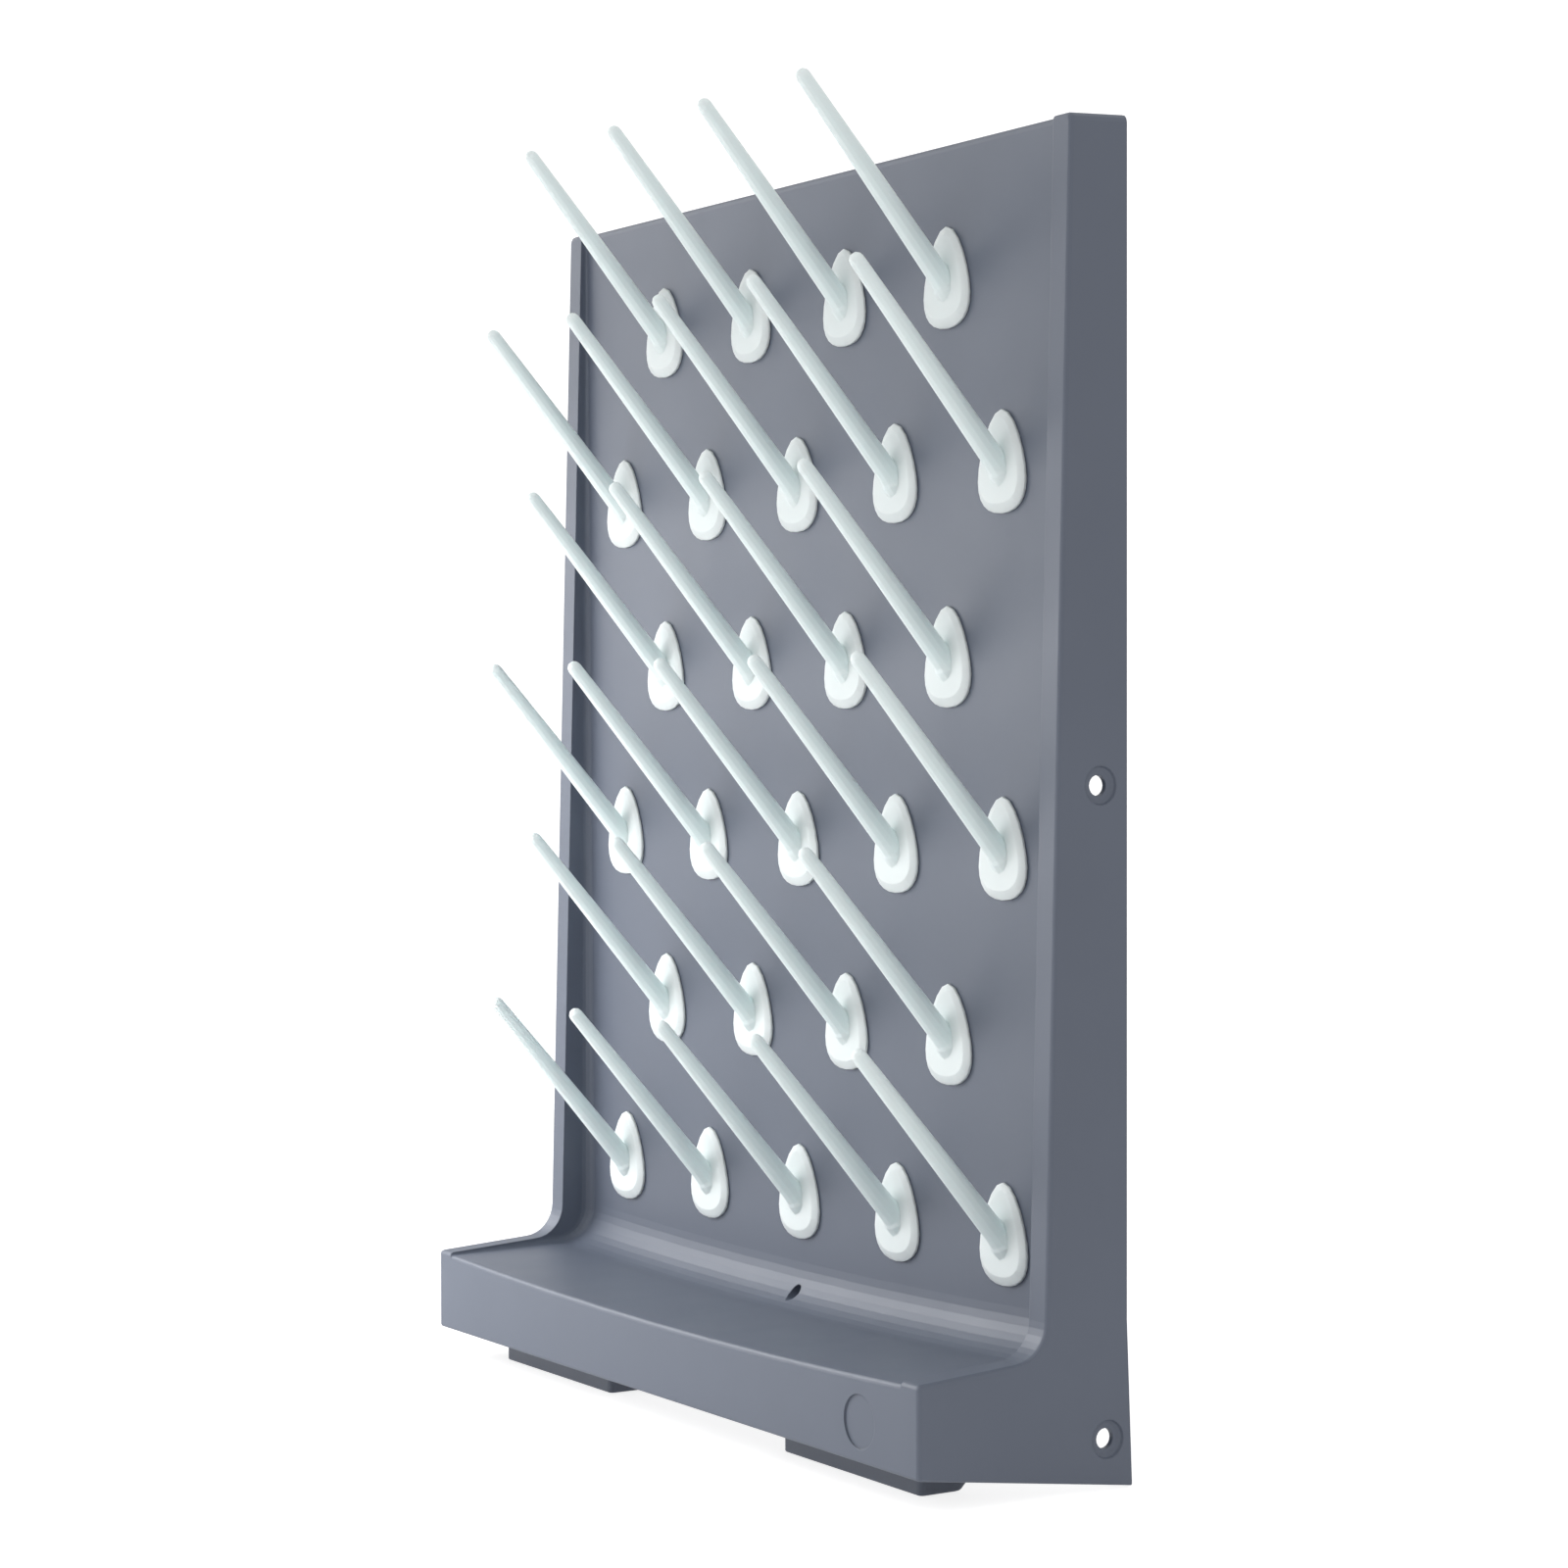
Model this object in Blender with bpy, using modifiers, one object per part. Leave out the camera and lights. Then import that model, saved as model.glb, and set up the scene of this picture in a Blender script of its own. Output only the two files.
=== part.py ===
"""Drying pegboard rack for laboratory glassware.

One hollow moulding, open at the back and underneath, makes the pegboard, its side
rims and the drip tray. Twenty-seven pegs push into slots in the board. Each peg has
an egg-shaped flange, a tapered rod that leans upwards, and a stud with a snap lip.

Metres, +Z up. The front faces -Y. The rack stands at Z = 0 on the soles of its two
feet and on the lower rear corners of its side walls, and it is centred on X and Y.
"""

import math

import bmesh
import bpy
from mathutils import Matrix, Vector
from mathutils.geometry import interpolate_bezier

# Overall size of the moulding
WIDTH = 0.4016
HEIGHT = 0.5389
DEPTH = 0.1023
WALL = 0.003

# Side walls and rims; the top wall falls a little towards the front
SIDE_DEPTH_TOP = 0.0273
SIDE_DEPTH_LOW = 0.0395
TOP_FALL = 0.0014
RIM_WIDTH = 0.0116
RIM_FILLET = 0.0152
HEEL_KICK = 0.0026
HEEL_HEIGHT = 0.066

# Panel, measured from its front face to the plane of the rear edges
PANEL_STANDOFF_TOP = 0.0243
PANEL_STANDOFF_LOW = 0.0233

# Drip tray
FRONT_CLEARANCE = 0.0137
FRONT_HEIGHT = 0.0363
TRAY_RIM_RISE = 0.0042
LIP_DROP = 0.0011
DISH_DEPTH = 0.004
FLOOR_RISE = 0.0016
FLOOR_FILLET = 0.018

# Corner radii where the panel and the tray floor meet the inner side walls
CORNER_RADIUS_TOP = 0.001
CORNER_RADIUS_FOOT = 0.005
CORNER_RADIUS_FLOOR = 0.0035
CORNER_RADIUS_LIP = 0.001

# Rounding of the outer edges, of the panel's top edge and of the tray's lip
SHOULDER_RADIUS = 0.0032
OUTER_EDGE_RADIUS = 0.0016
BOTTOM_EDGE_RADIUS = 0.001
TOP_EDGE_RADIUS = 0.003
LIP_RADIUS = 0.002

# Drain bore, level through the floor fillet near its middle, with its hose stub behind it
DRAIN_X = 0.0027
DRAIN_DIAMETER = 0.0064
DRAIN_RISE = 0.0018
STUB_LENGTH = 0.014
STUB_WALL = 0.0022

# Screw recesses in the side walls: height and distance in front of the rear edge
SCREW_HEIGHTS = (0.2762, 0.0197)
SCREW_SETBACKS = (0.013, 0.0095)
SCREW_HOLE_DIAMETER = 0.0082
RECESS_DIAMETER = 0.0156
RECESS_DEPTH = 0.0021
RECESS_FLOOR = 0.0022

# Plain round recess on the front of the tray
MARK_X = 0.1602
MARK_HEIGHT = 0.0297
MARK_DIAMETER = 0.0213
MARK_DEPTH = 0.0007

# Feet under the tray
FOOT_INNER_X = 0.0723
FOOT_OUTER_X = 0.1719
FOOT_SETBACK = 0.0208
FOOT_SOLE_DEPTH = 0.0203
FOOT_CHAMFER = 0.0046
FOOT_WALL = 0.003
FOOT_CORNER_RADIUS = 0.0025
FOOT_SOLE_RADIUS = 0.0008

# Peg grid: rows of four and five, from the top; the lowest row clears the floor fillet
ROW_COUNTS = (4, 5, 4, 5, 4, 5)
COLUMN_PITCH = 0.076
ROW_PITCH = 0.0775
BOTTOM_ROW_CLEARANCE = 0.00665

# Peg flange: an egg with a thin edge, a low crown and a bevel at its foot
FLANGE_HEIGHT = 0.0416
FLANGE_WIDTH = 0.0318
FLANGE_WIDEST_BELOW_CENTRE = 0.0075
FLANGE_EDGE = 0.0011
FLANGE_CROWN_TOP = 0.0019
FLANGE_CROWN_FOOT = 0.0029
FLANGE_CROWN_INSET = 0.003
FLANGE_FOOT_BEVEL = 0.0038
EGG_TOP_FULLNESS = 0.5
EGG_SHOULDER_FULLNESS = 0.43
EGG_FOOT_FULLNESS = 0.64

# Peg rod, from its root on the flange to the middle of its round tip
ROD_RISE = 0.0755
ROD_REACH = 0.0704
ROD_ROOT_DROP = 0.0032
ROD_ROOT_DIAMETER = 0.0097
ROD_TIP_DIAMETER = 0.0062
ROOT_FLARE = 0.001
ROOT_FLARE_LENGTH = 0.005

# Stud and its slot in the panel
SLOT_WIDTH = 0.007
SLOT_HEIGHT = 0.012
STUD_CLEARANCE = 0.0003
SEAT_GAP = 0.0003
SNAP_LIP = 0.0006
SNAP_LENGTH = 0.004
NOSE_TAPER = 0.0008

# Facets of the curved surfaces
FILLET_STEPS = 8
CORNER_STEPS = 4
EDGE_STEPS = 3
SMALL_EDGE_STEPS = 2
DISH_STEPS = 8
ROUND_STEPS = 20
MARK_STEPS = 32
RECESS_STEPS = 3
ROD_STEPS = 12
TIP_STEPS = 3
FLARE_STEPS = 2
FLANGE_STEPS = 6
SLOT_STEPS = 3

# How far a cutter runs past the face that it opens
SPARE = 0.02

# What counts as lying on a face, as one point, and as flat, sharp or upright
TOUCH = 0.00001
WELD = 0.000001
FLAT_ANGLE = math.radians(0.05)
SHARP_ANGLE = math.radians(40)
BOARD_SHARP_ANGLE = math.radians(30)
UPRIGHT = 0.5

FRONT_Y = -DEPTH / 2
HEEL_Y = DEPTH / 2
BACK_Y = HEEL_Y - HEEL_KICK
FRONT_TOP = FRONT_CLEARANCE + FRONT_HEIGHT
LIP_SIDE_Z = FRONT_TOP - LIP_DROP
FLOOR_CENTRE_Z = LIP_SIDE_Z - DISH_DEPTH + FLOOR_RISE
RECESS_HALF_WIDTH = WIDTH / 2 - RIM_WIDTH

# Place of the rim's foot among the corners of the side view
RIM_FOOT = 2


def clear_scene():
    for item in list(bpy.data.objects):
        bpy.data.objects.remove(item, do_unlink=True)


def new_collection(name):
    collection = bpy.data.collections.new(name)
    bpy.context.scene.collection.children.link(collection)
    return collection


def plastic(name, colour, roughness):
    material = bpy.data.materials.new(name)
    material.use_nodes = True
    shader = material.node_tree.nodes["Principled BSDF"]
    shader.inputs["Base Color"].default_value = (*colour, 1.0)
    shader.inputs["Roughness"].default_value = roughness
    shader.inputs["Metallic"].default_value = 0.0
    return material


def add_object(name, mesh, collection):
    item = bpy.data.objects.new(name, mesh)
    collection.objects.link(item)
    return item


def as_cutter(item):
    item.hide_render = True
    item.display_type = "WIRE"
    return item


def evaluated_mesh(item):
    """Mesh of an object with its modifiers applied, in world space, its points welded."""
    graph = bpy.context.evaluated_depsgraph_get()
    mesh = bpy.data.meshes.new_from_object(item.evaluated_get(graph))
    mesh.transform(item.matrix_world)
    shape = bmesh.new()
    shape.from_mesh(mesh)
    bmesh.ops.remove_doubles(shape, verts=shape.verts, dist=WELD)
    bmesh.ops.dissolve_limit(
        shape, angle_limit=FLAT_ANGLE, verts=shape.verts, edges=shape.edges
    )
    bmesh.ops.recalc_face_normals(shape, faces=shape.faces)
    shape.to_mesh(mesh)
    shape.free()
    return mesh


def replace_mesh(item, mesh):
    item.modifiers.clear()
    item.matrix_world = Matrix.Identity(4)
    item.data = mesh


def combine(item, other, operation):
    modifier = item.modifiers.new(operation.lower(), "BOOLEAN")
    modifier.operation = operation
    modifier.object = other
    modifier.solver = "EXACT"
    return modifier


def loft(name, rings, collection):
    """Closed solid through rings of points, with a flat cap at each end."""
    shape = bmesh.new()
    rows = [[shape.verts.new(point) for point in ring] for ring in rings]
    count = len(rings[0])
    for low, high in zip(rows, rows[1:]):
        for k in range(count):
            after = (k + 1) % count
            shape.faces.new((low[k], low[after], high[after], high[k]))
    shape.faces.new(rows[0])
    shape.faces.new(rows[-1])
    bmesh.ops.recalc_face_normals(shape, faces=shape.faces)
    mesh = bpy.data.meshes.new(name)
    shape.to_mesh(mesh)
    shape.free()
    return add_object(name, mesh, collection)


def flat_solid(name, splines, thickness, collection):
    """Outlines in a plane, filled and given a thickness, as a welded mesh."""
    curve = bpy.data.curves.new(name, "CURVE")
    curve.dimensions = "2D"
    curve.fill_mode = "BOTH"
    curve.extrude = thickness / 2
    for spline_maker in splines:
        spline_maker(curve)
    source = add_object(name, curve, collection)
    mesh = evaluated_mesh(source)
    bpy.data.objects.remove(source, do_unlink=True)
    return add_object(name, mesh, collection)


def poly_spline(points):
    def make(curve):
        spline = curve.splines.new("POLY")
        spline.points.add(len(points) - 1)
        for target, point in zip(spline.points, points):
            target.co = (point[0], point[1], 0.0, 1.0)
        spline.use_cyclic_u = True

    return make


def side_prism(name, outline, x_low, x_high, collection):
    """A side view outline of (y, z) points, extruded along X."""
    item = flat_solid(name, [poly_spline(outline)], x_high - x_low, collection)
    stand = Matrix(((0, 0, 1, 0), (1, 0, 0, 0), (0, 1, 0, 0), (0, 0, 0, 1)))
    place = Matrix.Translation(((x_low + x_high) / 2, 0, 0))
    item.data.transform(place @ stand)
    return item


def arc_at(before, corner, after, radius, steps):
    """Points of the arc that rounds a corner of an outline."""
    to_before = (before - corner).normalized()
    to_after = (after - corner).normalized()
    half_angle = to_before.angle(to_after) / 2
    centre = corner + (to_before + to_after).normalized() * radius / math.sin(half_angle)
    start = (corner + to_before * radius / math.tan(half_angle) - centre).normalized()
    end = (corner + to_after * radius / math.tan(half_angle) - centre).normalized()
    return [centre + start.slerp(end, k / steps) * radius for k in range(steps + 1)]


def rounded_outline(corners, filleted, radius):
    """Outline through corners, one of which, picked by its index, is filleted."""
    before = corners[filleted - 1]
    after = corners[filleted + 1]
    arc = arc_at(before, corners[filleted], after, radius, FILLET_STEPS)
    return corners[:filleted] + arc + corners[filleted + 1:]


def meet(point_a, along_a, point_b, along_b):
    """Where two lines in a plane cross."""
    across = Vector((along_b.y, -along_b.x))
    share = (point_b - point_a).dot(across) / along_a.dot(across)
    return point_a + along_a * share


def inset_corners(corners, insets):
    """Corners of a counter-clockwise outline whose edges move inwards, each by its own step."""
    moved = []
    for k, step in enumerate(insets):
        start = corners[k]
        along = corners[(k + 1) % len(corners)] - start
        inwards = Vector((-along.y, along.x)).normalized()
        moved.append((start + inwards * step, along))
    return [meet(*moved[k - 1], *moved[k]) for k in range(len(corners))]


def body_corners():
    """Side view of the moulding: back top, front top, rim foot, tray rim, front face, heel."""
    return [
        Vector((BACK_Y, HEIGHT)),
        Vector((BACK_Y - SIDE_DEPTH_TOP, HEIGHT - TOP_FALL)),
        Vector((BACK_Y - SIDE_DEPTH_LOW, FRONT_TOP + TRAY_RIM_RISE)),
        Vector((FRONT_Y, FRONT_TOP)),
        Vector((FRONT_Y, FRONT_CLEARANCE)),
        Vector((HEEL_Y, 0)),
        Vector((BACK_Y, HEEL_HEIGHT)),
    ]


def panel_y(z):
    """Y of the panel's front face at a height."""
    share = (HEIGHT - z) / (HEIGHT - FLOOR_CENTRE_Z)
    standoff = PANEL_STANDOFF_TOP + (PANEL_STANDOFF_LOW - PANEL_STANDOFF_TOP) * share
    return BACK_Y - standoff


def panel_lean():
    """Angle by which the panel's top comes forward."""
    rise = HEIGHT - FLOOR_CENTRE_Z
    return math.atan2(PANEL_STANDOFF_TOP - PANEL_STANDOFF_LOW, rise)


def arc_path(arc, start_way, end_way, start_radius, end_radius):
    """Points of an arc, each with its direction into the open and its corner radius."""
    path = []
    for k, point in enumerate(arc):
        share = k / (len(arc) - 1)
        into_open = start_way.lerp(end_way, share).normalized()
        radius = start_radius + (end_radius - start_radius) * share
        path.append((point, into_open, radius))
    return path


def panel_top_arc(foot):
    """Arc that rounds the panel over into the top wall."""
    back_top, front_top = body_corners()[:2]
    panel_top = Vector((panel_y(HEIGHT), HEIGHT))
    corner = meet(back_top, front_top - back_top, panel_top, foot - panel_top)
    return arc_at(back_top, corner, foot, TOP_EDGE_RADIUS, EDGE_STEPS)


def lip_arc(foot, front):
    """Arc that rounds the tray floor over into the front face."""
    down = Vector((0, -1))
    corner = meet(foot, front - foot, Vector((FRONT_Y, 0)), down)
    return arc_at(foot, corner, corner + down, LIP_RADIUS, EDGE_STEPS)


def recess_path(x, grow):
    """Front surface in side view at x: points, directions into the open, and corner radii."""
    half = RECESS_HALF_WIDTH + grow
    lip_z = LIP_SIDE_Z - DISH_DEPTH * (1 - (x / half) ** 2) - grow
    floor_z = lip_z + FLOOR_RISE
    foot = Vector((panel_y(floor_z) + grow, floor_z))
    top = Vector((panel_y(HEIGHT + SPARE) + grow, HEIGHT + SPARE))
    along_floor = Vector((FRONT_Y, lip_z)) - foot
    front = foot + along_floor * (1 + SPARE / DEPTH)
    forward = Vector((-1, 0))
    upward = Vector((0, 1))
    top_radius = CORNER_RADIUS_TOP + grow
    foot_radius = CORNER_RADIUS_FOOT + grow
    floor_radius = CORNER_RADIUS_FLOOR + grow
    lip_radius = CORNER_RADIUS_LIP + grow
    bend = arc_at(top, foot, front, FLOOR_FILLET + grow, FILLET_STEPS)
    bend_path = arc_path(bend, forward, upward, foot_radius, floor_radius)
    if grow > 0:
        return [(top, forward, top_radius)] + bend_path + [(front, upward, lip_radius)]
    crest = panel_top_arc(foot)
    lip = lip_arc(foot, front)
    above = Vector((crest[0].x, HEIGHT + SPARE))
    ahead = Vector((FRONT_Y - SPARE, lip[-1].y))
    path = [(above, upward, top_radius)]
    path += arc_path(crest, upward, forward, top_radius, top_radius)
    path += bend_path
    path += arc_path(lip, upward, forward, lip_radius, lip_radius)
    path.append((ahead, forward, lip_radius))
    return path


def recess_ring(side, step, grow):
    """One section of the recess, from the panel's top to the tray's front, then its far corner."""
    half = RECESS_HALF_WIDTH + grow
    rows = len(recess_path(0, grow))
    ring = []
    for row in range(rows):
        radius = recess_path(0, grow)[row][2]
        if step is None:
            x = side * (half - radius)
            push = 0
        else:
            angle = math.pi / 2 * step / CORNER_STEPS
            x = side * (half - radius * (1 - math.sin(angle)))
            push = radius * (1 - math.cos(angle))
        point, into_open, _ = recess_path(x, grow)[row]
        placed = point + into_open * push
        ring.append((x, placed.x, placed.y))
    end_x = side * half if step == CORNER_STEPS else ring[0][0]
    ring.append((end_x, FRONT_Y - SPARE, HEIGHT + SPARE))
    return ring


def recess_cutter(name, grow, collection):
    """The open space in front of the panel and above the tray floor, grown on all sides."""
    corner_steps = range(CORNER_STEPS, 0, -1)
    rings = [recess_ring(-1, step, grow) for step in corner_steps]
    for k in range(DISH_STEPS + 1):
        rings.append(recess_ring(2 * k / DISH_STEPS - 1, None, grow))
    rings += [recess_ring(1, step, grow) for step in reversed(corner_steps)]
    return as_cutter(loft(name, rings, collection))


def foot_outline(top, shrink):
    """Side view of a foot, drawn up to a height and shrunk all round for its hollow."""
    front = FRONT_Y + FOOT_SETBACK + shrink
    sole_back = FRONT_Y + FOOT_SETBACK + FOOT_SOLE_DEPTH
    back = sole_back + FOOT_CHAMFER - shrink
    bottom = -SPARE if shrink else 0
    if shrink:
        return [Vector(p) for p in ((front, top), (front, bottom), (back, bottom), (back, top))]
    return [
        Vector((front, top)),
        Vector((front, bottom)),
        Vector((sole_back, bottom)),
        Vector((back, FOOT_CHAMFER)),
        Vector((back, top)),
    ]


def foot_prisms(name, top, shrink, collection):
    prisms = []
    for side, label in ((-1, "left"), (1, "right")):
        ends = sorted((side * (FOOT_INNER_X + shrink), side * (FOOT_OUTER_X - shrink)))
        outline = foot_outline(top, shrink)
        prism = side_prism(f"{name}_{label}", outline, *ends, collection)
        if not shrink:
            round_edges(prism, is_foot_corner, FOOT_CORNER_RADIUS, EDGE_STEPS)
            round_edges(prism, is_on_ground, FOOT_SOLE_RADIUS, SMALL_EDGE_STEPS)
        prisms.append(as_cutter(prism))
    return prisms


def turned(name, profile, steps, collection):
    """A solid turned about Z from (radius, height) points that run from top to bottom."""
    mesh = bpy.data.meshes.new(name)
    points = [(radius, 0, height) for radius, height in profile]
    edges = [(k, k + 1) for k in range(len(points) - 1)]
    mesh.from_pydata(points, edges, [])
    item = add_object(name, mesh, collection)
    screw = item.modifiers.new("screw", "SCREW")
    screw.steps = steps
    screw.render_steps = steps
    screw.use_merge_vertices = True
    screw.merge_threshold = TOUCH
    screw.use_smooth_shade = True
    replace_mesh(item, evaluated_mesh(item))
    return item


def screw_places():
    """Centre of each screw recess on the outer face of a side wall."""
    for label, height, setback in zip(("upper", "lower"), SCREW_HEIGHTS, SCREW_SETBACKS):
        for side, hand in ((-1, "left"), (1, "right")):
            turn = Matrix.Rotation(side * math.pi / 2, 4, "Y")
            place = Matrix.Translation((side * WIDTH / 2, BACK_Y - setback, height))
            yield f"{label}_{hand}", place @ turn


def screw_recess_profile():
    """A round dish with the screw's hole through its bottom, seen from the wall's outer face."""
    dish = RECESS_DIAMETER / 2
    hole = SCREW_HOLE_DIAMETER / 2
    profile = [(0, SPARE), (dish, SPARE), (dish, 0)]
    for k in range(1, RECESS_STEPS + 1):
        angle = math.pi / 2 * k / RECESS_STEPS
        radius = hole + (dish - hole) * math.cos(angle)
        profile.append((radius, -RECESS_DEPTH * math.sin(angle)))
    return profile + [(hole, -SPARE), (0, -SPARE)]


def facing_forward(x, y, z):
    """Frame at a point, its Z pointing forward out of the moulding."""
    return Matrix.Translation((x, y, z)) @ Matrix.Rotation(math.pi / 2, 4, "X")


def drain_place():
    """Frame on the panel's plane at the axis of the drain bore."""
    axis_z = FLOOR_CENTRE_Z + DRAIN_RISE + DRAIN_DIAMETER / 2
    return facing_forward(DRAIN_X, panel_y(axis_z), axis_z)


def rod(name, radius, top, bottom, steps, collection):
    profile = [(0, top), (radius, top), (radius, bottom), (0, bottom)]
    return turned(name, profile, steps, collection)


def peg_places():
    """Name and frame of each peg: its origin on the panel, its Z up the panel."""
    last_row = len(ROW_COUNTS) - 1
    lean = panel_lean()
    bottom_z = FRONT_TOP + FLOOR_FILLET + FLANGE_HEIGHT / 2 + BOTTOM_ROW_CLEARANCE
    bottom = Vector((0, panel_y(bottom_z), bottom_z))
    up_panel = Vector((0, -math.sin(lean), math.cos(lean)))
    for row, count in enumerate(ROW_COUNTS):
        for column in range(count):
            x = (column - (count - 1) / 2) * COLUMN_PITCH
            point = bottom + up_panel * (last_row - row) * ROW_PITCH + Vector((x, 0, 0))
            turn = Matrix.Rotation(lean, 4, "X")
            yield f"peg_{row + 1}_{column + 1}", Matrix.Translation(point) @ turn


def slot_ring(width, height, y):
    """Upright slot outline with round ends, as a ring of points at depth y."""
    radius = width / 2
    straight = height / 2 - radius
    ring = []
    for end, start in ((1, 0), (-1, math.pi)):
        for k in range(SLOT_STEPS + 1):
            angle = start + math.pi * k / SLOT_STEPS
            x = radius * math.cos(angle)
            z = end * straight + radius * math.sin(angle)
            ring.append(Vector((x, y, z)))
    return ring


def joined(name, pieces, collection):
    """One object that holds the meshes of several as separate bodies."""
    shape = bmesh.new()
    for piece in pieces:
        shape.from_mesh(piece.data)
        bpy.data.objects.remove(piece, do_unlink=True)
    mesh = bpy.data.meshes.new(name)
    shape.to_mesh(mesh)
    shape.free()
    return add_object(name, mesh, collection)


def slot_cutters(collection):
    cutters = []
    for name, place in peg_places():
        ring_front = [place @ p for p in slot_ring(SLOT_WIDTH, SLOT_HEIGHT, -WALL)]
        ring_back = [place @ p for p in slot_ring(SLOT_WIDTH, SLOT_HEIGHT, 2 * WALL)]
        cutters.append(loft(f"slot_{name}", [ring_front, ring_back], collection))
    return as_cutter(joined("peg_slots", cutters, collection))


def round_edges(item, pick, radius, steps):
    """Round the sharp edges of a mesh whose middle and direction pick() accepts."""
    shape = bmesh.new()
    shape.from_mesh(item.data)
    chosen = []
    for edge in shape.edges:
        middle = (edge.verts[0].co + edge.verts[1].co) / 2
        along = (edge.verts[1].co - edge.verts[0].co).normalized()
        is_sharp = edge.calc_face_angle(0) > SHARP_ANGLE
        if is_sharp and pick(middle, along):
            chosen.append(edge)
    bmesh.ops.bevel(
        shape, geom=chosen, offset=radius, segments=steps, profile=0.5, affect="EDGES"
    )
    shape.to_mesh(item.data)
    shape.free()


def is_shoulder(middle, along):
    at_side = abs(abs(middle.x) - WIDTH / 2) < TOUCH
    return at_side and middle.z > HEIGHT - TOP_FALL - TOUCH


def is_outer_edge(middle, along):
    """Edges round the rims, the tray's rims and the front corners, not those at the back."""
    return middle.y < BACK_Y - WALL and middle.z > FRONT_CLEARANCE + TOUCH


def is_bottom_edge(middle, along):
    share = (HEEL_Y - middle.y) / DEPTH
    return middle.y < HEEL_Y - TOUCH and abs(middle.z - FRONT_CLEARANCE * share) < TOUCH


def is_foot_corner(middle, along):
    return abs(along.z) > UPRIGHT


def is_on_ground(middle, along):
    return abs(middle.z) < TOUCH


def moulding_body(collection):
    """The outer shape of the moulding, as a solid, with its rounded outer edges."""
    outline = rounded_outline(body_corners(), RIM_FOOT, RIM_FILLET)
    body = side_prism("backboard", outline, -WIDTH / 2, WIDTH / 2, collection)
    round_edges(body, is_shoulder, SHOULDER_RADIUS, EDGE_STEPS)
    round_edges(body, is_outer_edge, OUTER_EDGE_RADIUS, SMALL_EDGE_STEPS)
    round_edges(body, is_bottom_edge, BOTTOM_EDGE_RADIUS, SMALL_EDGE_STEPS)
    return body


def rear_hollow(cutters):
    """The space behind the panel and under the tray, open at the back and underneath."""
    open_edge = -SPARE
    insets = (WALL, WALL, WALL, WALL, open_edge, open_edge, open_edge)
    corners = inset_corners(body_corners(), insets)
    outline = rounded_outline(corners, RIM_FOOT, RIM_FILLET + WALL)
    half = WIDTH / 2 - WALL
    hollow = side_prism("rear_hollow", outline, -half, half, cutters)
    combine(hollow, recess_cutter("recess_with_wall", WALL, cutters), "DIFFERENCE")
    for foot in foot_prisms("foot_keep", FRONT_TOP, 0, cutters):
        combine(hollow, foot, "DIFFERENCE")
    boss_radius = RECESS_DIAMETER / 2 + WALL
    boss_depth = RECESS_DEPTH + RECESS_FLOOR
    for label, place in screw_places():
        boss = rod(f"boss_{label}", boss_radius, 0, -boss_depth, ROUND_STEPS, cutters)
        boss.data.transform(place)
        combine(hollow, as_cutter(boss), "DIFFERENCE")
    stub_radius = DRAIN_DIAMETER / 2 + STUB_WALL
    stub_end = -WALL - STUB_LENGTH
    stub = rod("drain_stub", stub_radius, FLOOR_FILLET, stub_end, ROUND_STEPS, cutters)
    stub.data.transform(drain_place())
    combine(hollow, as_cutter(stub), "DIFFERENCE")
    return as_cutter(hollow)


def make_backboard(collection, cutters):
    body = moulding_body(collection)
    for foot in foot_prisms("foot_block", FRONT_CLEARANCE + WALL, 0, cutters):
        combine(body, foot, "UNION")
    combine(body, recess_cutter("recess", 0, cutters), "DIFFERENCE")
    combine(body, rear_hollow(cutters), "DIFFERENCE")
    wall_guard = bpy.data.objects["recess_with_wall"]
    for core in foot_prisms("foot_core", FRONT_TOP, FOOT_WALL, cutters):
        combine(core, wall_guard, "DIFFERENCE")
        combine(body, core, "DIFFERENCE")
    combine(body, slot_cutters(cutters), "DIFFERENCE")
    for label, place in screw_places():
        recess = turned(f"screw_{label}", screw_recess_profile(), ROUND_STEPS, cutters)
        recess.data.transform(place)
        combine(body, as_cutter(recess), "DIFFERENCE")
    mark = rod("mark", MARK_DIAMETER / 2, SPARE, -MARK_DEPTH, MARK_STEPS, cutters)
    mark.data.transform(facing_forward(MARK_X, FRONT_Y, MARK_HEIGHT))
    combine(body, as_cutter(mark), "DIFFERENCE")
    bore_end = -WALL - STUB_LENGTH - SPARE
    bore = rod("drain_bore", DRAIN_DIAMETER / 2, FLOOR_FILLET, bore_end, ROUND_STEPS, cutters)
    bore.data.transform(drain_place())
    combine(body, as_cutter(bore), "DIFFERENCE")
    replace_mesh(body, evaluated_mesh(body))
    return body


def egg_ring(inset, foot_inset, top_depth, foot_depth):
    """Egg outline, drawn in from its full size, in a plane that may lean out at the foot."""
    half = FLANGE_WIDTH / 2 - inset
    top = FLANGE_HEIGHT / 2 - inset
    foot = foot_inset - FLANGE_HEIGHT / 2
    widest = -FLANGE_WIDEST_BELOW_CENTRE
    hip = Vector((half, 0, widest))
    shoulder = interpolate_bezier(
        Vector((0, 0, top)),
        Vector((half * EGG_TOP_FULLNESS, 0, top)),
        Vector((half, 0, widest + top * EGG_SHOULDER_FULLNESS)),
        hip,
        FLANGE_STEPS + 1,
    )
    heel = interpolate_bezier(
        hip,
        Vector((half, 0, widest - (widest - foot) * EGG_FOOT_FULLNESS)),
        Vector((half * EGG_FOOT_FULLNESS, 0, foot)),
        Vector((0, 0, foot)),
        FLANGE_STEPS + 1,
    )
    right_side = shoulder + heel[1:]
    ring = right_side + [Vector((-p.x, 0, p.z)) for p in right_side[-2:0:-1]]
    for point in ring:
        share = (top - point.z) / (top - foot)
        point.y = -SEAT_GAP - top_depth - (foot_depth - top_depth) * share
    return ring


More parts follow.
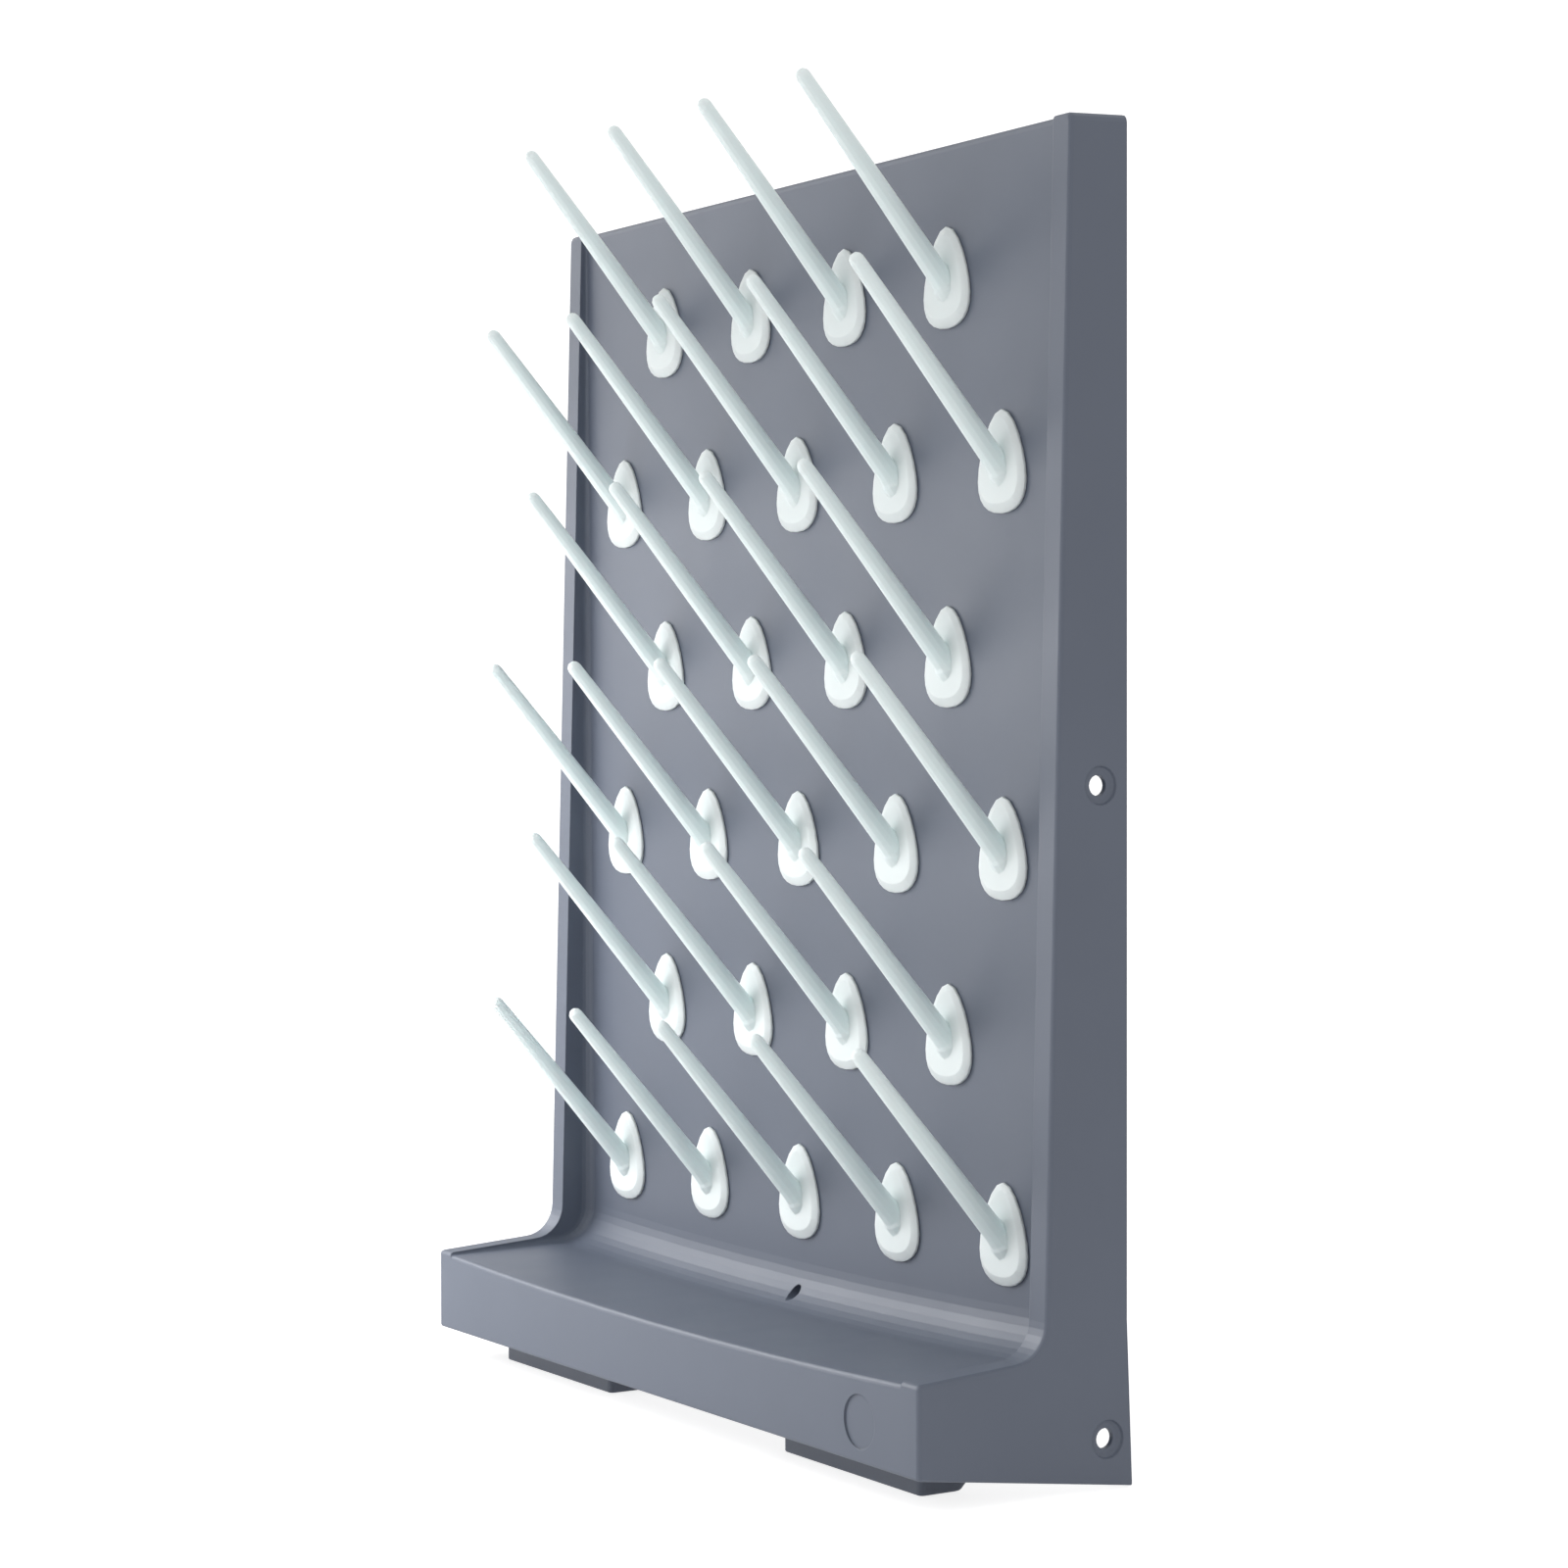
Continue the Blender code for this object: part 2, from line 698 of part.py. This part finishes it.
def make_flange(collection):
    rings = [
        egg_ring(0, 0, 0, 0),
        egg_ring(0, 0, FLANGE_EDGE, FLANGE_EDGE),
        egg_ring(FLANGE_CROWN_INSET, FLANGE_FOOT_BEVEL, FLANGE_CROWN_TOP, FLANGE_CROWN_FOOT),
    ]
    return loft("flange", rings, collection)


def rod_profile(length, tail):
    """Outer side of the rod from its round tip down to its flared root."""
    tip = ROD_TIP_DIAMETER / 2
    root = ROD_ROOT_DIAMETER / 2
    profile = []
    for k in range(TIP_STEPS + 1):
        angle = math.pi / 2 * k / TIP_STEPS
        profile.append((tip * math.sin(angle), length + tip * math.cos(angle)))
    for k in range(FLARE_STEPS + 1):
        angle = math.pi / 2 * k / FLARE_STEPS
        radius = root + ROOT_FLARE * (1 - math.cos(angle))
        profile.append((radius, ROOT_FLARE_LENGTH * (1 - math.sin(angle))))
    return profile + [(root + ROOT_FLARE, -tail), (0, -tail)]


def make_rod(collection):
    """The leaning rod, cut off flat inside the flange."""
    root = Vector((0, -SEAT_GAP - FLANGE_EDGE, -ROD_ROOT_DROP))
    tip = Vector((0, -ROD_REACH, ROD_RISE))
    along = tip - root
    profile = rod_profile(along.length, ROD_ROOT_DIAMETER)
    item = turned("rod", profile, ROD_STEPS, collection)
    turn = Vector((0, 0, 1)).rotation_difference(along).to_matrix().to_4x4()
    item.data.transform(Matrix.Translation(root) @ turn)
    shape = bmesh.new()
    shape.from_mesh(item.data)
    inside_flange = Vector((0, -SEAT_GAP - FLANGE_EDGE / 2, 0))
    parts = list(shape.verts) + list(shape.edges) + list(shape.faces)
    bmesh.ops.bisect_plane(
        shape, geom=parts, plane_co=inside_flange, plane_no=(0, 1, 0), clear_outer=True
    )
    rim = [edge for edge in shape.edges if edge.is_boundary]
    bmesh.ops.holes_fill(shape, edges=rim)
    bmesh.ops.recalc_face_normals(shape, faces=shape.faces)
    shape.to_mesh(item.data)
    shape.free()
    return item


def make_stud(collection):
    """Stud through the panel's slot, with a snap lip behind the panel and a tapered nose."""
    neck_width = SLOT_WIDTH - 2 * STUD_CLEARANCE
    neck_height = SLOT_HEIGHT - 2 * STUD_CLEARANCE
    lip_y = WALL + SEAT_GAP
    rings = [
        slot_ring(neck_width, neck_height, -SEAT_GAP - FLANGE_EDGE / 2),
        slot_ring(neck_width, neck_height, lip_y),
        slot_ring(SLOT_WIDTH + 2 * SNAP_LIP, SLOT_HEIGHT + 2 * SNAP_LIP, lip_y + SNAP_LIP),
        slot_ring(neck_width - 2 * NOSE_TAPER, neck_height - 2 * NOSE_TAPER, lip_y + SNAP_LENGTH),
    ]
    return loft("stud", rings, collection)


def make_pegs(collection, cutters, material):
    """Every peg is its own object, and all share one mesh."""
    pattern = make_flange(cutters)
    combine(pattern, as_cutter(make_rod(cutters)), "UNION")
    combine(pattern, as_cutter(make_stud(cutters)), "UNION")
    mesh = evaluated_mesh(pattern)
    mesh.name = "peg"
    mesh.materials.append(material)
    mesh.shade_smooth()
    mesh.set_sharp_from_angle(angle=SHARP_ANGLE)
    as_cutter(pattern)
    for name, place in peg_places():
        peg = add_object(name, mesh, collection)
        peg.matrix_world = place


def main():
    clear_scene()
    rack = new_collection("drying_pegboard_rack")
    cutters = new_collection("cutters")
    board_plastic = plastic("blue_grey_polystyrene", (0.235, 0.262, 0.305), 0.42)
    peg_plastic = plastic("pale_green_white_plastic", (0.72, 0.79, 0.79), 0.4)
    board = make_backboard(rack, cutters)
    board.data.materials.append(board_plastic)
    board.data.shade_smooth()
    board.data.set_sharp_from_angle(angle=BOARD_SHARP_ANGLE)
    make_pegs(rack, cutters, peg_plastic)


main()
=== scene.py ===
import math

import bpy
from mathutils import Matrix, Vector

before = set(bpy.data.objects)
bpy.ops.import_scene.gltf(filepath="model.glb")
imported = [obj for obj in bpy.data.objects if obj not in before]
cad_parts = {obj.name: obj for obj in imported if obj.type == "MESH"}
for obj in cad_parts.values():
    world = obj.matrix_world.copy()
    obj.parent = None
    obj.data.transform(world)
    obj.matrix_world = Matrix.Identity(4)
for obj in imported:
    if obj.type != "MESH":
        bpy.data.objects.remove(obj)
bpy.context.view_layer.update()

# Camera, from the fit to the photograph
CAMERA_PLACE = (1.25315, -0.77952, 0.29890)
CAMERA_YAW = -1.0048
CAMERA_PITCH = -0.0165
CAMERA_ROLL = -0.0016
CAMERA_LENS = 77.95
SENSOR_WIDTH = 36.0
CLIP_START = 0.05
CLIP_END = 50

# Colours of the two plastics, linear, each from one end of its cloudy tone to the other
BOARD_COLOURS = (0.096, 0.113, 0.152), (0.102, 0.120, 0.161)
PEG_COLOURS = (0.779, 0.864, 0.862), (0.795, 0.882, 0.880)

# Roughness of the two plastics, from their smoothest patches to their roughest, and their gloss
BOARD_ROUGHNESS = 0.5, 0.53
PEG_ROUGHNESS = 0.56, 0.62
BOARD_IOR = 1.55
PEG_IOR = 1.49

# Light inside the pegs: its share, and how far each colour reaches, as shares of a length
PEG_GLOW_SHARE = 0.7
PEG_GLOW_REACH = (0.95, 1.0, 1.0)
PEG_GLOW_LENGTH = 0.006

# The middle part of a noise, which most of it lies in
NOISE_LOW = 0.3
NOISE_HIGH = 0.7

# Long, slight waves in the skin, and the radius of the soft light on sharp edges
WAVE_STRENGTH = 0.03
WAVE_DEPTH = 0.001
EDGE_SOFTNESS = 0.0007
EDGE_SAMPLES = 4

# Paper of the floor and the backdrop
PAPER_GREY = 0.86
PAPER_ROUGHNESS = 0.9
PAPER_GLOSS = 0.1

# How the camera sees the paper: a glow that doesn't light the object, and a share of shadow
PAPER_GLOW = 0.8
PAPER_SHADE = 0.5

# The floor lies a little under the feet, and the backdrop stands behind the rack
FLOOR_HALF = 6.0
FLOOR_GAP = 0.0005
BACKDROP_HALF = 4.0
BACKDROP_DISTANCE = 2.5

WORLD_LIGHT = 0.81
WORLD_SEEN = 1.0


def link(tree, source, target):
    tree.links.new(source, target)


def new_material(name):
    material = bpy.data.materials.new(name)
    material.use_nodes = True
    tree = material.node_tree
    return material, tree, tree.nodes["Principled BSDF"]


def noise(tree, coords, scale, detail):
    node = tree.nodes.new("ShaderNodeTexNoise")
    node.inputs["Scale"].default_value = scale
    node.inputs["Detail"].default_value = detail
    link(tree, coords, node.inputs["Vector"])
    return node.outputs["Fac"]


def colour_between(tree, factor, colours):
    node = tree.nodes.new("ShaderNodeValToRGB")
    for stop, position, colour in zip(node.color_ramp.elements, (NOISE_LOW, NOISE_HIGH), colours):
        stop.position = position
        stop.color = (*colour, 1)
    link(tree, factor, node.inputs["Fac"])
    return node.outputs["Color"]


def value_between(tree, factor, values):
    low, high = values
    node = tree.nodes.new("ShaderNodeMapRange")
    node.inputs["From Min"].default_value = NOISE_LOW
    node.inputs["From Max"].default_value = NOISE_HIGH
    node.inputs["To Min"].default_value = low
    node.inputs["To Max"].default_value = high
    link(tree, factor, node.inputs["Value"])
    return node.outputs["Result"]


def skin_normal(tree, height):
    """Normals of a slightly wavy skin, whose sharp edges catch the light as rounded ones do."""
    bump = tree.nodes.new("ShaderNodeBump")
    bump.inputs["Strength"].default_value = WAVE_STRENGTH
    bump.inputs["Distance"].default_value = WAVE_DEPTH
    link(tree, height, bump.inputs["Height"])
    bevel = tree.nodes.new("ShaderNodeBevel")
    bevel.samples = EDGE_SAMPLES
    bevel.inputs["Radius"].default_value = EDGE_SOFTNESS
    link(tree, bevel.outputs["Normal"], bump.inputs["Normal"])
    return bump.outputs["Normal"]


def plastic(name, colours, roughness, ior, cloud, grain, wave):
    """Satin moulded plastic: cloud, grain and wave give the scale and detail of a noise each."""
    material, tree, shader = new_material(name)
    coords = tree.nodes.new("ShaderNodeTexCoord").outputs["Object"]
    colour = colour_between(tree, noise(tree, coords, *cloud), colours)
    link(tree, colour, shader.inputs["Base Color"])
    gloss = value_between(tree, noise(tree, coords, *grain), roughness)
    link(tree, gloss, shader.inputs["Roughness"])
    link(tree, skin_normal(tree, noise(tree, coords, *wave)), shader.inputs["Normal"])
    shader.inputs["IOR"].default_value = ior
    return material, shader


def board_material():
    """Blue-grey plastic."""
    material, _ = plastic(
        "board_plastic", BOARD_COLOURS, BOARD_ROUGHNESS, BOARD_IOR,
        cloud=(9.0, 3.0), grain=(40.0, 4.0), wave=(14.0, 1.0),
    )
    return material


def peg_material():
    """Pale greenish-white plastic with a little light under its skin."""
    material, shader = plastic(
        "peg_plastic", PEG_COLOURS, PEG_ROUGHNESS, PEG_IOR,
        cloud=(22.0, 3.0), grain=(90.0, 3.0), wave=(30.0, 1.0),
    )
    shader.inputs["Subsurface Weight"].default_value = PEG_GLOW_SHARE
    shader.inputs["Subsurface Radius"].default_value = PEG_GLOW_REACH
    shader.inputs["Subsurface Scale"].default_value = PEG_GLOW_LENGTH
    return material


def dress_nodes():
    board = board_material()
    peg = peg_material()
    for name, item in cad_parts.items():
        item.data.materials.clear()
        item.data.materials.append(board if name == "backboard" else peg)


def look_at(item, target):
    direction = Vector(target) - item.location
    item.rotation_euler = direction.to_track_quat("-Z", "Y").to_euler()


def area_light(name, place, target, size, power):
    light = bpy.data.lights.new(name, "AREA")
    light.shape = "RECTANGLE"
    light.size, light.size_y = size
    light.energy = power
    item = bpy.data.objects.new(name, light)
    bpy.context.scene.collection.objects.link(item)
    item.location = place
    look_at(item, target)
    return item


def make_camera():
    yaw, pitch, roll = CAMERA_YAW, CAMERA_PITCH, CAMERA_ROLL
    forward = Vector((
        math.sin(yaw) * math.cos(pitch),
        math.cos(yaw) * math.cos(pitch),
        math.sin(pitch),
    ))
    level_right = Vector((math.cos(yaw), -math.sin(yaw), 0))
    level_up = level_right.cross(forward)
    right = math.cos(roll) * level_right + math.sin(roll) * level_up
    up = math.cos(roll) * level_up - math.sin(roll) * level_right
    data = bpy.data.cameras.new("camera")
    data.sensor_width = SENSOR_WIDTH
    data.lens = CAMERA_LENS
    data.clip_start = CLIP_START
    data.clip_end = CLIP_END
    camera = bpy.data.objects.new("camera", data)
    turn = Matrix((right, up, -forward)).transposed().to_4x4()
    camera.matrix_world = Matrix.Translation(CAMERA_PLACE) @ turn
    bpy.context.scene.collection.objects.link(camera)
    bpy.context.scene.camera = camera


def larger(tree, first, second):
    node = tree.nodes.new("ShaderNodeMath")
    node.operation = "MAXIMUM"
    link(tree, first, node.inputs[0])
    link(tree, second, node.inputs[1])
    return node.outputs[0]


def seen_directly(tree):
    """1 where a camera, glossy or transmission ray sees the surface, and 0 for other rays."""
    rays = tree.nodes.new("ShaderNodeLightPath").outputs
    seen = larger(tree, rays["Is Camera Ray"], rays["Is Glossy Ray"])
    return larger(tree, seen, rays["Is Transmission Ray"])


def make_world():
    world = bpy.data.worlds.new("studio")
    bpy.context.scene.world = world
    world.use_nodes = True
    tree = world.node_tree
    background = tree.nodes["Background"]
    background.inputs["Color"].default_value = (1, 1, 1, 1)
    strength = tree.nodes.new("ShaderNodeMapRange")
    strength.inputs["To Min"].default_value = WORLD_LIGHT
    strength.inputs["To Max"].default_value = WORLD_SEEN
    link(tree, seen_directly(tree), strength.inputs["Value"])
    link(tree, strength.outputs["Result"], background.inputs["Strength"])


def paper_material():
    """Matt white, which the camera sees as white paper with a share of the shadow on it."""
    material, tree, shader = new_material("studio")
    shader.inputs["Base Color"].default_value = (PAPER_GREY, PAPER_GREY, PAPER_GREY, 1)
    shader.inputs["Roughness"].default_value = PAPER_ROUGHNESS
    shader.inputs["Specular IOR Level"].default_value = PAPER_GLOSS
    glow = tree.nodes.new("ShaderNodeEmission")
    glow.inputs["Strength"].default_value = PAPER_GLOW
    shade = tree.nodes.new("ShaderNodeBsdfDiffuse")
    shade.inputs["Color"].default_value = (PAPER_SHADE, PAPER_SHADE, PAPER_SHADE, 1)
    seen = tree.nodes.new("ShaderNodeAddShader")
    link(tree, glow.outputs[0], seen.inputs[0])
    link(tree, shade.outputs[0], seen.inputs[1])
    mix = tree.nodes.new("ShaderNodeMixShader")
    link(tree, seen_directly(tree), mix.inputs["Fac"])
    link(tree, shader.outputs[0], mix.inputs[1])
    link(tree, seen.outputs[0], mix.inputs[2])
    link(tree, mix.outputs[0], tree.nodes["Material Output"].inputs["Surface"])
    return material


def paper_sheet(name, half, paper):
    """A square sheet that belongs to the studio and not to the rack."""
    mesh = bpy.data.meshes.new(name)
    corners = [(-half, -half, 0), (half, -half, 0), (half, half, 0), (-half, half, 0)]
    mesh.from_pydata(corners, [], [(0, 1, 2, 3)])
    mesh.materials.append(paper)
    sheet = bpy.data.objects.new(name, mesh)
    bpy.context.scene.collection.objects.link(sheet)
    return sheet


def make_studio():
    """Floor, and a backdrop that lights nothing, shades nothing and isn't mirrored."""
    paper = paper_material()
    floor = paper_sheet("floor", FLOOR_HALF, paper)
    floor.location = (0, 0, -FLOOR_GAP)
    backdrop = paper_sheet("backdrop", BACKDROP_HALF, paper)
    away = Vector((math.sin(CAMERA_YAW), math.cos(CAMERA_YAW), 0))
    backdrop.location = away * BACKDROP_DISTANCE
    backdrop.rotation_euler = away.to_track_quat("Z", "Y").to_euler()
    backdrop.visible_diffuse = False
    backdrop.visible_glossy = False
    backdrop.visible_shadow = False


def make_lights():
    """A big lamp that only makes gloss, one on the paper in front, and a low one without gloss."""
    key = area_light(
        "key", place=(-2.4, -0.85, 1.2), target=(0, 0, 0.28), size=(1.6, 1.6), power=24,
    )
    key.visible_diffuse = False
    area_light(
        "table", place=(-0.48, -0.5, 0.4), target=(-0.46, -0.44, 0), size=(0.5, 0.5), power=5.9,
    )
    fill = area_light(
        "fill", place=(-1.15, -1.15, 0.2), target=(0, -0.05, 0.08), size=(1.2, 0.4), power=1.4,
    )
    fill.visible_glossy = False


dress_nodes()
make_camera()
make_world()
make_studio()
make_lights()
bpy.context.scene.view_settings.view_transform = "Standard"
